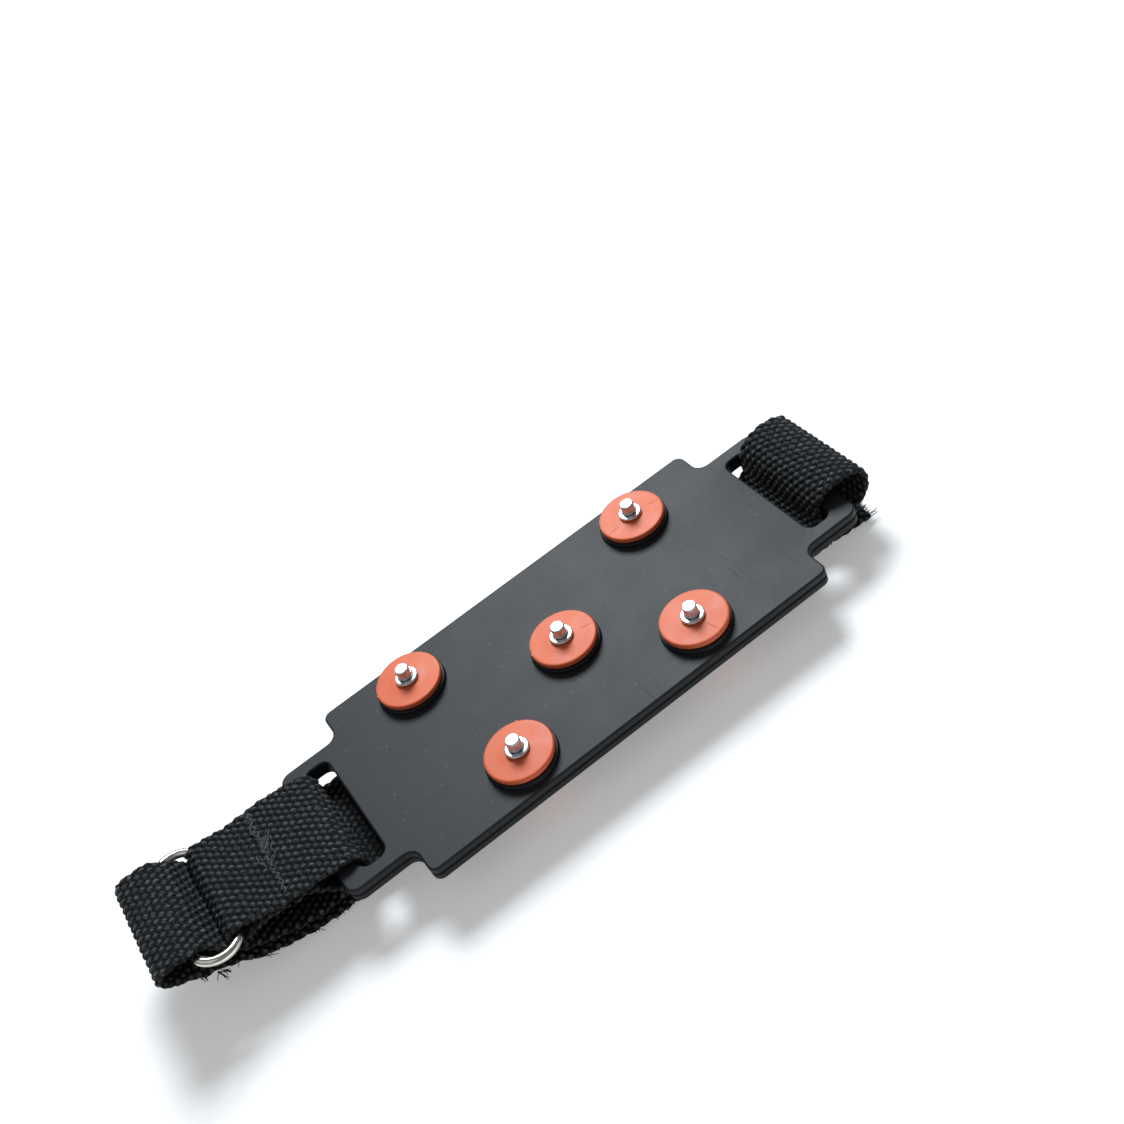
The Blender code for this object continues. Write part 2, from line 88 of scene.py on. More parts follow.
# ---------------------------------------------------------------- mesh helpers
def new_object(name, vertices_mm, faces, material, uv=None, sharp_angle=None, painted_light_height=None):
    """A smooth-shaded object from points in millimetres."""
    mesh = bpy.data.meshes.new(name)
    mesh.from_pydata((np.asarray(vertices_mm) * MM).tolist(), [], faces)
    mesh.update()
    mesh.shade_smooth()
    if sharp_angle is not None:
        mesh.set_sharp_from_angle(angle=math.radians(sharp_angle))
    if uv is not None:
        layer = mesh.uv_layers.new(name="weave")
        corner = np.zeros(len(mesh.loops), np.int32)
        mesh.loops.foreach_get("vertex_index", corner)
        layer.data.foreach_set("uv", np.asarray(uv, np.float32)[corner].ravel())
    # The weave height per point, read by the webbing material for its painted shade in the gaps and painted
    # highlight on the knots.
    if painted_light_height is not None:
        layer = mesh.attributes.new("painted_light_height", "FLOAT", "POINT")
        layer.data.foreach_set("value", np.asarray(painted_light_height, np.float32).ravel())
    mesh.materials.append(material)
    thing = bpy.data.objects.new(name, mesh)
    bpy.context.scene.collection.objects.link(thing)
    return thing


def ring_faces(rings, around, caps=True, start=0):
    """Quads that skin closed loops of points, with a cap on the first and the last."""
    i, j = np.meshgrid(np.arange(rings - 1), np.arange(around), indexing="ij")
    k = (j + 1) % around
    quads = np.stack([i * around + j, i * around + k, (i + 1) * around + k, (i + 1) * around + j], -1)
    faces = (quads.reshape(-1, 4) + start).tolist()
    if caps:
        faces.append([start + index for index in range(around)][::-1])
        faces.append([start + (rings - 1) * around + index for index in range(around)])
    return faces


def tubes(name, lines, radius, sides, material, taper=0.6):
    """Thin threads: one closed tube along each line of points, thinner at its ends."""
    vertices, faces = [], []
    start = 0
    for line in lines:
        line = np.asarray(line, float)
        along = np.gradient(line, axis=0)
        along /= np.linalg.norm(along, axis=1)[:, None] + 1e-12
        side = np.cross(along, [0.31, 0.17, 0.93])
        side /= np.linalg.norm(side, axis=1)[:, None] + 1e-12
        over = np.cross(along, side)
        share = np.linspace(0, 1, len(line))
        size = radius * (taper + (1 - taper) * np.sin(np.pi * np.clip(share, 0.02, 0.98)) ** 0.5)
        turn = np.arange(sides) * TAU / sides
        loop = (side[:, None] * np.cos(turn)[None, :, None] + over[:, None] * np.sin(turn)[None, :, None])
        vertices.append((line[:, None] + loop * size[:, None, None]).reshape(-1, 3))
        faces += ring_faces(len(line), sides, start=start)
        start += len(line) * sides
    return new_object(name, np.concatenate(vertices), faces, material)


def arc(centre, radius, start, end, steps):
    angle = np.radians(np.linspace(start, end, steps + 1))
    return np.stack([centre[0] + radius * np.cos(angle), centre[1] + radius * np.sin(angle)], -1)


def smooth_route(points, step=0.1):
    """A Catmull-Rom curve through (x, z) points, resampled evenly; gives distance, points and left normals."""
    points = np.asarray(points, float)
    knots = np.concatenate([[2 * points[0] - points[1]], points, [2 * points[-1] - points[-2]]])
    parts = []
    for a, b, c, d in zip(knots, knots[1:], knots[2:], knots[3:]):
        t = np.linspace(0, 1, 24, endpoint=False)[:, None]
        parts.append(0.5 * (2 * b + (c - a) * t + (2 * a - 5 * b + 4 * c - d) * t**2
                            + (3 * b - a - 3 * c + d) * t**3))
    curve = np.concatenate(parts + [points[-1:]])
    run = np.concatenate([[0], np.cumsum(np.linalg.norm(np.diff(curve, axis=0), axis=1))])
    distance = np.arange(0, run[-1], step)
    curve = np.stack([np.interp(distance, run, curve[:, axis]) for axis in (0, 1)], -1)
    along = np.gradient(curve, axis=0)
    window = np.ones(7) / 7
    padded = np.pad(along, ((3, 3), (0, 0)), mode="edge")
    along = np.stack([np.convolve(padded[:, axis], window, "valid") for axis in (0, 1)], -1)
    along /= np.linalg.norm(along, axis=1)[:, None]
    return distance, curve, np.stack([-along[:, 1], along[:, 0]], -1)


def smoothstep(value, low, high):
    t = np.clip((value - low) / (high - low), 0, 1)
    return t * t * (3 - 2 * t)


def scatter(a, b):
    """A repeatable pseudo-random share from two whole numbers."""
    value = np.sin(a * 12.9898 + b * 78.233) * 43758.5453
    return value - np.floor(value)


# ---------------------------------------------------------------- weave
def weave_height(s, y):
    """Height of the webbing's knots at distance s along and y across the band."""
    drift = 0.35 * np.sin(s * 0.11 + 0.6) + 0.16 * np.sin(s * 0.37 + y * 0.21)
    along = s + drift + 0.10 * np.sin(y * 0.9 + s * 0.05)
    base = np.floor(y / COLUMN + 0.5)
    best = np.full(np.broadcast(s, y).shape, WEAVE_FLOOR)
    for neighbour in (-1, 0, 1):
        column = base + neighbour
        phase = math.pi * (along / ROW + column)
        crossing = np.floor(along / ROW + 0.5)
        lift = np.cos(phase)
        lift = np.sign(lift) * np.abs(lift) ** 0.85
        size = 0.86 + 0.28 * scatter(column, crossing)
        jitter = KNOT_JITTER * (scatter(crossing, column + 41.0) - 0.5)
        centre = (column + KNOT_SWAY * np.sin(phase) + jitter) * COLUMN
        width = COLUMN * (0.48 + 0.08 * lift)
        across = (y - centre) / width
        body = np.sqrt(np.clip(1 - across**2, 0, 1))
        best = np.maximum(best, KNOT_LIFT * lift * size + KNOT_RADIUS * body)
    return best


SELVEDGE = 0.9                  # width of the band's rounded edge
EDGE_CROWDING = math.pi / 2 * 0.94      # how far points across the band draw together towards its edges


def along_route(route, s):
    """Middle points and left normals of a route at the given distances."""
    distance, curve, normal = route
    centre = np.stack([np.interp(s, distance, curve[:, axis]) for axis in (0, 1)], -1)
    out = np.stack([np.interp(s, distance, normal[:, axis]) for axis in (0, 1)], -1)
    return centre, out


def band(name, route, stations, half_width, shift, face=1, fine=FINE, coarse=COARSE, back_relief=0.55,
         phase=0.0):
    """A closed strip of webbing along part of a route.  face=1 puts the fine side on the route's left."""
    s = np.asarray(stations, float)
    centre, out = along_route(route, s)
    out /= np.linalg.norm(out, axis=1)[:, None]
    width = half_width(centre[:, 0]) + 0.16 * np.sin(TAU * s / (2 * ROW)) + 0.12 * np.sin(s * 0.83 + phase)
    middle = shift(centre[:, 0])
    sheets, uv_sheets, painted_light_height_sheets = [], [], []
    for side, count, strength in ((face, fine, 1.0), (-face, coarse, back_relief)):
        even = np.linspace(-1, 1, count)
        crowded = np.sin(even * EDGE_CROWDING) / math.sin(EDGE_CROWDING)
        v = 0.75 * even + 0.25 * crowded
        y = v[None, :] * width[:, None]
        inside = width[:, None] - np.abs(y)
        rounding = np.sqrt(np.clip(1 - np.clip(1 - inside / SELVEDGE, 0, 1) ** 2, 0, 1))
        body = 0.34 + 0.66 * rounding
        height = weave_height(s[:, None] + phase + (0 if side == face else ROW), y)
        lift = (WEB / 2) * body + strength * (height - KNOT_MEAN) * (0.25 + 0.75 * rounding)
        points = np.empty((len(s), count, 3))
        points[..., 0] = centre[:, None, 0] + side * out[:, None, 0] * lift
        points[..., 1] = middle[:, None] + y
        points[..., 2] = centre[:, None, 1] + side * out[:, None, 1] * lift
        uv = np.stack([np.broadcast_to(s[:, None] / 10, y.shape), y / 10 + (0 if side == face else 5)], -1)
        if side != face:
            points, uv, height = points[:, ::-1], uv[:, ::-1], height[:, ::-1]
        sheets.append(points)
        uv_sheets.append(uv)
        # Knot height kept for the webbing's painted shade and painted highlight.
        painted_light_height_sheets.append(height)
    points = np.concatenate(sheets, 1)
    uv = np.concatenate(uv_sheets, 1)
    painted_light_height = np.concatenate(painted_light_height_sheets, 1)
    faces = ring_faces(len(s), points.shape[1])
    if face < 0:
        faces = [corners[::-1] for corners in faces]
    return new_object(name, points.reshape(-1, 3), faces, WEBBING, uv=uv.reshape(-1, 2), painted_light_height=painted_light_height)


# ---------------------------------------------------------------- materials
class Nodes:
    """Short calls for building a material's node tree."""

    COLOUR_MIX_INPUTS = (0, 6, 7)       # a colour mix node's factor, A and B
    COLOUR_MIX_OUTPUT = 2

    def __init__(self, name):
        self.material = bpy.data.materials.new(name)
        self.material.use_nodes = True
        self.tree = self.material.node_tree
        self.shader = self.tree.nodes["Principled BSDF"]

    def add(self, kind, **inputs):
        node = self.tree.nodes.new(kind)
        for key, value in inputs.items():
            self.feed(node, key.replace("_", " "), value)
        return node

    def feed(self, node, key, value):
        """Link a socket, or set a constant value, on one of a node's inputs."""
        socket = node.inputs[key]
        if isinstance(value, bpy.types.NodeSocket):
            self.tree.links.new(value, socket)
        else:
            socket.default_value = value

    def coordinates(self, kind="Object", scale=(1, 1, 1), rotation=(0, 0, 0)):
        source = self.tree.nodes.new("ShaderNodeTexCoord")
        mapping = self.add("ShaderNodeMapping", Vector=source.outputs[kind])
        mapping.inputs["Scale"].default_value = scale
        mapping.inputs["Rotation"].default_value = rotation
        return mapping.outputs[0]

    def noise(self, vector, scale, detail=3.0, rough=0.55):
        node = self.add("ShaderNodeTexNoise", Vector=vector, Scale=scale, Detail=detail, Roughness=rough)
        return node.outputs["Fac"]

    def ramp(self, value, low, high, low_colour=(0, 0, 0, 1), high_colour=(1, 1, 1, 1)):
        node = self.add("ShaderNodeValToRGB", Fac=value)
        node.color_ramp.elements[0].position = low
        node.color_ramp.elements[1].position = high
        node.color_ramp.elements[0].color = low_colour
        node.color_ramp.elements[1].color = high_colour
        return node.outputs["Color"]

    def mix(self, share, first, second):
        node = self.tree.nodes.new("ShaderNodeMix")
        node.data_type = "RGBA"
        for number, value in zip(self.COLOUR_MIX_INPUTS, (share, first, second)):
            self.feed(node, number, value)
        return node.outputs[self.COLOUR_MIX_OUTPUT]

    def maths(self, operation, first, second=0.0):
        node = self.tree.nodes.new("ShaderNodeMath")
        node.operation = operation
        for number, value in enumerate((first, second)):
            self.feed(node, number, value)
        return node.outputs[0]

    def bump(self, height, distance, strength=1.0):
        node = self.add("ShaderNodeBump", Height=height, Distance=distance, Strength=strength)
        return node.outputs[0]

    def finish(self, **inputs):
        for key, value in inputs.items():
            self.feed(self.shader, key.replace("_", " "), value)
        return self.material


def rubber_material():
    """Moulded black rubber: a dusty, mottled face with fine scratches and specks. Faces that look up are
    lighter and all other faces blacker: partly the rubber's own dust bloom, partly painted light on the tops
    and painted shade on the edges and sides.
    """
    n = Nodes("rubber")
    place = n.coordinates()
    mottle = n.noise(place, 75.0, 4.0, 0.6)
    patches = n.noise(place, 22.0, 2.0)
    grain = n.noise(place, 2400.0, 2.0)
    facing = n.tree.nodes.new("ShaderNodeTexCoord")
    upright = n.add("ShaderNodeSeparateXYZ", Vector=facing.outputs["Normal"])
    # Mask by which way a face looks: up-facing faces get the lighter dusty grey and the rest near-black; partly
    # dust bloom, partly painted light on tops and painted shade on edges and sides.
    up_facing_dust_and_light = n.ramp(upright.outputs["Z"], 0.88, 0.995)
    dusty = n.mix(n.ramp(mottle, 0.33, 0.70), (0.0128, 0.0158, 0.0185, 1), (0.0185, 0.0216, 0.0244, 1))
    dusty = n.mix(n.maths("MULTIPLY", n.ramp(patches, 0.38, 0.66), 0.35), dusty, (0.0155, 0.0185, 0.0220, 1))
    # Near-black for the edges, sides and fillets: partly the bare rubber, partly painted shade.
    black = n.mix(mottle, (0.0055, 0.0065, 0.0080, 1), (0.0100, 0.0115, 0.0135, 1))
    colour = n.mix(up_facing_dust_and_light, black, dusty)
    long_scratch = n.noise(n.coordinates(scale=(14, 300, 60), rotation=(0, 0, 0.9)), 1.6, 3.0, 0.7)
    cross_scratch = n.noise(n.coordinates(scale=(260, 11, 60), rotation=(0, 0, 0.25)), 1.9, 3.0, 0.7)
    scratches = n.maths("MAXIMUM", n.ramp(long_scratch, 0.64, 0.69), n.ramp(cross_scratch, 0.645, 0.69))
    scratches = n.maths("MULTIPLY", scratches, n.ramp(patches, 0.42, 0.62))
    colour = n.mix(n.maths("MULTIPLY", scratches, 0.45), colour, (0.006, 0.007, 0.009, 1))
    speck_cells = n.add("ShaderNodeTexVoronoi", Vector=place, Scale=520.0)
    chosen = n.add("ShaderNodeSeparateColor", Color=speck_cells.outputs["Color"])
    speck = n.maths("MULTIPLY", n.ramp(speck_cells.outputs["Distance"], 0.10, 0.22, (1, 1, 1, 1), (0, 0, 0, 1)),
                    n.ramp(chosen.outputs["Red"], 0.80, 1.0))
    speck = n.maths("MULTIPLY", speck, up_facing_dust_and_light)
    colour = n.mix(n.maths("MULTIPLY", speck, 0.30), colour, (0.20, 0.21, 0.215, 1))
    rough = n.ramp(mottle, 0.3, 0.8, (0.54, 0.54, 0.54, 1), (0.60, 0.60, 0.60, 1))
    n.shader.inputs["Specular IOR Level"].default_value = 0.31
    height = n.maths("ADD", n.maths("MULTIPLY", grain, 0.5), n.maths("MULTIPLY", scratches, -0.6))
    height = n.maths("ADD", height, n.maths("MULTIPLY", mottle, 0.3))
    return n.finish(Base_Color=colour, Roughness=rough, Normal=n.bump(height, 0.00006, 0.7))


def plastic_material():
    """Glossy moulded orange plastic with a faint swirl and fine marks."""
    n = Nodes("orange_plastic")
    place = n.coordinates()
    cloud = n.noise(place, 160.0, 3.0)
    fine = n.noise(place, 1900.0, 2.0)
    marks = n.noise(n.coordinates(scale=(900, 60, 200), rotation=(0, 0, 0.6)), 1.0, 3.0, 0.7)
    colour = n.mix(n.ramp(cloud, 0.3, 0.7), (0.66, 0.125, 0.048, 1), (0.73, 0.150, 0.060, 1))
    colour = n.mix(n.maths("MULTIPLY", n.ramp(marks, 0.66, 0.72), 0.25), colour, (0.70, 0.13, 0.05, 1))
    rough = n.ramp(cloud, 0.3, 0.7, (0.40, 0.40, 0.40, 1), (0.52, 0.52, 0.52, 1))
    n.shader.inputs["Specular IOR Level"].default_value = 0.26
    height = n.maths("ADD", n.maths("MULTIPLY", fine, 0.35), cloud)
    return n.finish(Base_Color=colour, Roughness=rough, Normal=n.bump(height, 0.00005, 0.5))


def metal_material(name, dark, light, low, high, scale=900.0):
    """Plated metal with faint drawing lines and a varied polish."""
    n = Nodes(name)
    lines = n.noise(n.coordinates(scale=(scale, scale, scale * 6)), 1.0, 2.0)
    cloud = n.noise(n.coordinates(), 420.0, 3.0)
    colour = n.mix(n.ramp(cloud, 0.3, 0.7), (*dark, 1), (*light, 1))
    rough = n.ramp(lines, 0.3, 0.75, (low,) * 3 + (1,), (high,) * 3 + (1,))
    return n.finish(Base_Color=colour, Metallic=1.0, Roughness=rough, Normal=n.bump(lines, 0.000008, 0.5))


def webbing_material():
    """Black woven yarn: bundles of fine filaments, glossier on the knots' crowns, with a painted highlight
    there and painted shade, near black, in the gaps.
    """
    n = Nodes("webbing")
    strands = n.noise(n.coordinates("UV", scale=(6.0, 46.0, 1), rotation=(0, 0, 0.30)), 1.0, 3.0, 0.6)
    filaments = n.noise(n.coordinates("UV", scale=(14.0, 190.0, 1), rotation=(0, 0, 0.36)), 1.0, 2.0)
    tone = n.noise(n.coordinates(), 260.0, 3.0)
    relief = n.tree.nodes.new("ShaderNodeAttribute")
    relief.attribute_name = "painted_light_height"
    # Mask from the weave height: the gaps get painted shade and the crowns get a painted highlight along the
    # strands.
    painted_light_crown_mask = n.ramp(relief.outputs["Fac"], 0.42, 0.90)
    painted_glint = n.maths("MULTIPLY", painted_light_crown_mask, n.ramp(strands, 0.48, 0.64))
    yarn = n.mix(n.ramp(tone, 0.3, 0.7), (0.0022, 0.0030, 0.0040, 1), (0.0060, 0.0076, 0.0095, 1))
    # Painted shade in the gaps between knots, then a painted highlight on the crowns.
    colour = n.mix(painted_light_crown_mask, (0.0006, 0.0007, 0.0009, 1), yarn)
    colour = n.mix(painted_glint, colour, (0.170, 0.196, 0.215, 1))
    height = n.maths("ADD", strands, n.maths("MULTIPLY", filaments, 0.6))
    rough = n.ramp(painted_light_crown_mask, 0.1, 0.9, (0.85, 0.85, 0.85, 1), (0.40, 0.40, 0.40, 1))
    n.shader.inputs["Specular IOR Level"].default_value = 0.32
    return n.finish(Base_Color=colour, Roughness=rough, Normal=n.bump(height, 0.00025, 1.0))


def yarn_material(name, low, high):
    """A loose thread's twisted filaments."""
    n = Nodes(name)
    twist = n.noise(n.coordinates(), 2600.0, 2.0)
    colour = n.mix(n.ramp(twist, 0.35, 0.65), (*low, 1), (*high, 1))
    return n.finish(Base_Color=colour, Roughness=0.55, Normal=n.bump(twist, 0.00005, 0.8))


def pile_material():
    """Brushed loop pile: matt, tangled and nearly black."""
    n = Nodes("loop_pile")
    tangle = n.noise(n.coordinates(), 1500.0, 5.0, 0.7)
    patches = n.noise(n.coordinates(), 120.0, 3.0)
    colour = n.mix(n.ramp(tangle, 0.35, 0.7), (0.006, 0.007, 0.009, 1), (0.030, 0.033, 0.040, 1))
    colour = n.mix(n.maths("MULTIPLY", n.ramp(patches, 0.45, 0.65), 0.3), colour, (0.036, 0.040, 0.047, 1))
    n.shader.inputs["Sheen Weight"].default_value = 0.25
    n.shader.inputs["Sheen Roughness"].default_value = 0.5
    return n.finish(Base_Color=colour, Roughness=0.9, Normal=n.bump(tangle, 0.0003, 1.0))


def hook_material():
    """Stiff nylon hook tape, a little glossy."""
    n = Nodes("hook_tape")
    grain = n.noise(n.coordinates(), 1300.0, 2.0)
    colour = n.mix(n.ramp(grain, 0.35, 0.7), (0.010, 0.011, 0.012, 1), (0.026, 0.027, 0.029, 1))
    return n.finish(Base_Color=colour, Roughness=0.42, Normal=n.bump(grain, 0.0001, 0.8))


def floor_material():
    """White paper, faintly lit from within so that it stays pale in the shade."""
    n = Nodes("floor_paper")
    fibre = n.noise(n.coordinates(), 350.0, 3.0)
    colour = n.mix(n.ramp(fibre, 0.3, 0.7), (0.84, 0.845, 0.85, 1), (0.87, 0.875, 0.88, 1))
    n.shader.inputs["Emission Color"].default_value = (1.0, 1.0, 1.0, 1)
    n.shader.inputs["Emission Strength"].default_value = 0.28
    return n.finish(Base_Color=colour, Roughness=0.75)


RUBBER = rubber_material()
PLASTIC = plastic_material()
STEEL = metal_material("zinc_steel", (0.56, 0.57, 0.59), (0.70, 0.71, 0.73), 0.34, 0.42)
NICKEL = metal_material("nickel_wire", (0.66, 0.63, 0.57), (0.80, 0.77, 0.70), 0.10, 0.22, 500.0)
WEBBING = webbing_material()
THREAD = yarn_material("sewing_thread", (0.040, 0.046, 0.052), (0.085, 0.094, 0.104))
YARN_END = yarn_material("loose_yarn", (0.003, 0.004, 0.005), (0.012, 0.014, 0.016))
PILE = pile_material()
HOOKS = hook_material()


# ---------------------------------------------------------------- rubber plate
BODY_HALF_LENGTH = 65.5
BODY_HALF_WIDTH = plate_high[1]
EAR_END = plate_high[0]
EAR_HALF_WIDTH = 24.8
EAR_CORNER = 3.5
BODY_CORNER = 2.6
NOTCH = 3.4
SLOT_INNER, SLOT_OUTER, SLOT_HALF, SLOT_CORNER = 71.3, 79.2, 20.2, 2.8
PLATE_BOTTOM = plate_low[2]
PLATE_TOP = PLATE_BOTTOM + 5.0
EDGE = 0.6                      # rounding of the plate's and the slots' edges
BOSS_TOP = plate_high[2]
BOSS_RADIUS = 10.3
BOSS_FILLET = 0.15
BOSS_RIM = 0.35
HOLE_RADIUS = 2.35              # through rubber and discs
POCKET_RADIUS = 9.3             # recess for the inner disc
POCKET_ROOF = PLATE_BOTTOM + 1.5
STUD_PLACES = [tuple((sum(box_mm(f"stud_{n}"))[:2] / 2).tolist()) for n in range(1, 6)]


def plate_outline(inset, steps=9):
    """The plate's rim seen from above, anticlockwise: a wide body with an ear at each end."""
    corners = []
    for sign_x, sign_y, quarter in ((1, 1, 0), (-1, 1, 90), (-1, -1, 180), (1, -1, 270)):
        ear = (sign_x * (EAR_END - EAR_CORNER), sign_y * (EAR_HALF_WIDTH - EAR_CORNER))
        notch = (sign_x * (BODY_HALF_LENGTH + NOTCH), sign_y * (EAR_HALF_WIDTH + NOTCH))
        body = (sign_x * (BODY_HALF_LENGTH - BODY_CORNER), sign_y * (BODY_HALF_WIDTH - BODY_CORNER))
        ear_arc = arc(ear, EAR_CORNER - inset, quarter, quarter + 90, steps)
        body_arc = arc(body, BODY_CORNER - inset, quarter, quarter + 90, steps)
        notch_arc = arc(notch, NOTCH + inset, quarter + 270, quarter + 180, steps)
        order = [ear_arc, notch_arc, body_arc]
        corners += order if sign_x * sign_y > 0 else order[::-1]
    return np.concatenate(corners)


def slot_outline(sign, grow, steps=9):
    """An ear's slot, on the +X side for sign=1 and mirrored for sign=-1."""
    low, high, end = SLOT_INNER + SLOT_CORNER, SLOT_OUTER - SLOT_CORNER, SLOT_HALF - SLOT_CORNER
    r = SLOT_CORNER + grow
    points = np.concatenate([arc((high, end), r, 0, 90, steps), arc((low, end), r, 90, 180, steps),
                             arc((low, -end), r, 180, 270, steps), arc((high, -end), r, 270, 360, steps)])
    return points * (sign, 1.0)


def circle(place, radius, steps=96):
    """Points round a circle, without repeating the first."""
    return arc(place, radius, 0, 360 * (steps - 1) / steps, steps - 1)


def rounded_levels(bottom, top, edge, steps=4):
    """(height, inset) pairs for a rounded lower edge and a rounded upper edge."""
    turn = np.radians(np.linspace(0, 90, steps + 1))
    lower = [(bottom + edge - edge * math.cos(a), edge - edge * math.sin(a)) for a in turn]
    upper = [(top - edge + edge * math.sin(a), edge - edge * math.cos(a)) for a in turn]
    return lower, upper


def make_plate():
    """One closed rubber mesh: rounded plate with its edge groove, slots, stud bosses and pockets."""
    blocks, faces = [], []

    def add_loops(loops):
        """Skin a stack of (outline, height) loops; gives the point numbers of its first and last loop."""
        start = sum(len(block) for block in blocks)
        count = len(loops[0][0])
        for outline, z in loops:
            blocks.append(np.column_stack([outline, np.full(count, z)]))
        faces.extend(ring_faces(len(loops), count, caps=False, start=start))
        first = list(range(start, start + count))
        last = list(range(start + (len(loops) - 1) * count, start + len(loops) * count))
        return first, last

    lower, upper = rounded_levels(PLATE_BOTTOM, PLATE_TOP, EDGE)
    middle = (PLATE_BOTTOM + PLATE_TOP) / 2
    groove = [(middle - 0.45, 0.0), (middle - 0.28, 0.12), (middle - 0.16, 0.42), (middle, 0.55),
              (middle + 0.16, 0.42), (middle + 0.28, 0.16), (middle + 0.45, 0.04)]
    walls = [(plate_outline(inset), z) for z, inset in lower + groove + upper]
    wall_low, wall_high = add_loops(walls)
    bottom_holes, top_holes = [], []
    for sign in (-1, 1):
        loops = [(slot_outline(sign, inset), z) for z, inset in lower + upper]
        low, high = add_loops(loops)
        bottom_holes.append(low)
        top_holes.append(high)
    quarter = np.radians(np.linspace(0, 90, 4))
    foot = BOSS_RADIUS + BOSS_FILLET
    fillet = [(foot - BOSS_FILLET * math.sin(a), BOSS_FILLET - BOSS_FILLET * math.cos(a)) for a in quarter]
    shoulder = BOSS_RADIUS - BOSS_RIM
    rim = [(shoulder + BOSS_RIM * math.cos(a), BOSS_RIM * math.sin(a) - BOSS_RIM) for a in quarter]
    for place in STUD_PLACES:
        profile = [(r, PLATE_TOP + z) for r, z in fillet] + [(r, BOSS_TOP + z) for r, z in rim]
        profile += [(HOLE_RADIUS, BOSS_TOP), (HOLE_RADIUS, POCKET_ROOF)]
        profile += [(POCKET_RADIUS, POCKET_ROOF), (POCKET_RADIUS, PLATE_BOTTOM)]
        first, last = add_loops([(circle(place, r), z) for r, z in profile])
        top_holes.append(first)
        bottom_holes.append(last)
    points = np.concatenate(blocks)
    for outer, holes in ((wall_high, top_holes), (wall_low, bottom_holes)):
        faces += fill_flat(points, outer, holes)
    plate = new_object("rubber_sole_plate", points, faces, RUBBER, sharp_angle=40)
    fix_normals(plate)
    return plate


def fill_flat(points, outer, holes):
    """Triangles that fill a flat outline with holes, as lists of point numbers."""
    bm = bmesh.new()
    known = {}
    for loop in [outer] + holes:
        verts = []
        for number in loop:
            vert = bm.verts.new(Vector(points[number]))
            known[vert] = number
            verts.append(vert)
        for index, vert in enumerate(verts):
            bm.edges.new((verts[index - 1], vert))
    made = bmesh.ops.triangle_fill(bm, use_beauty=True, use_dissolve=False, edges=bm.edges)
    new_faces = [item for item in made["geom"] if isinstance(item, bmesh.types.BMFace)]
    triangles = [[known[vert] for vert in face.verts] for face in new_faces]
    bm.free()
    return triangles


def fix_normals(thing):
    """Weld coincident points and turn all faces outwards."""
    bm = bmesh.new()
    bm.from_mesh(thing.data)
    bmesh.ops.remove_doubles(bm, verts=bm.verts, dist=1e-6)
    bmesh.ops.recalc_face_normals(bm, faces=bm.faces)
    bm.to_mesh(thing.data)
    bm.free()


# ---------------------------------------------------------------- turned parts
RIDGE_START, RIDGE_HEIGHT = 3.75, 0.075          # a mould line across a disc's face
NIB_REACH = ((-1, 0.18), (0, 0.42), (1, 0.18))   # how far a gate mark stands out, per step round the rim


def lathe(name, profile, place, steps, material, ridges=(), nib=None):
    """Spin a closed (radius, height) profile; ridges are angles with a mould line, nib one with a gate mark."""
    profile = np.asarray(profile, float)
    turn = np.arange(steps) * TAU / steps
    points = np.empty((steps, len(profile), 3))
    points[..., 0] = place[0] + profile[None, :, 0] * np.cos(turn)[:, None]
    points[..., 1] = place[1] + profile[None, :, 0] * np.sin(turn)[:, None]
    points[..., 2] = profile[None, :, 1]
    top = profile[:, 1].max()
    for angle in ridges:
        column = int(round(angle / 360 * steps)) % steps
        raised = (profile[:, 0] > RIDGE_START) & (profile[:, 1] > top - 0.75)
        points[column, raised, 2] += RIDGE_HEIGHT
    if nib is not None:
        column = int(round(nib / 360 * steps)) % steps
        for offset, amount in NIB_REACH:
            spot = (column + offset) % steps
            edge = profile[:, 0] > profile[:, 0].max() - 0.35
            outward = np.array([math.cos(turn[spot]), math.sin(turn[spot])])
            points[spot, edge, :2] += outward * amount
    count = len(profile)
    i, j = np.meshgrid(np.arange(steps), np.arange(count), indexing="ij")
    ii, jj = (i + 1) % steps, (j + 1) % count
    quads = np.stack([i * count + j, ii * count + j, ii * count + jj, i * count + jj], -1)
    thing = new_object(name, points.reshape(-1, 3), quads.reshape(-1, 4).tolist(), material, sharp_angle=30)
    fix_normals(thing)
    drop_slivers(thing)
    return thing


def drop_slivers(thing):
    """Collapse the faces of no area where a profile meets its axis."""
    bm = bmesh.new()
    bm.from_mesh(thing.data)
    bmesh.ops.dissolve_degenerate(bm, edges=bm.edges, dist=1e-7)
    bm.to_mesh(thing.data)
    bm.free()


def round_corner(centre, radius, start, end, steps=5):
    return [tuple(point) for point in arc(centre, radius, start, end, steps)]


MOULD_MARKS = {1: ((192, 350), None), 2: ((-75,), None), 3: ((-15,), 170), 4: ((), 172), 5: ((), 62)}
HUB_STEP = 0.3                  # rise of a disc's middle over its face
PIN_RADIUS = 2.05
PIN_HEAD_RADIUS = 4.4
PIN_HEAD_HEIGHT = 0.8


def disc_profile(low, hub, radius):
    """A flat disc with rounded edges whose face rises gently to its hub."""
    shoulder = hub - HUB_STEP
    profile = [(HOLE_RADIUS, low)] + round_corner((radius - 0.55, low + 0.55), 0.55, -90, 0)
    profile += round_corner((radius - 0.5, shoulder - 0.5), 0.5, 8, 82)
    profile += [(8.9, shoulder + 0.01), (7.6, shoulder + 0.04), (6.2, shoulder + 0.09), (4.9, shoulder + 0.15)]
    return profile + [(RIDGE_START, hub), (HOLE_RADIUS, hub)]


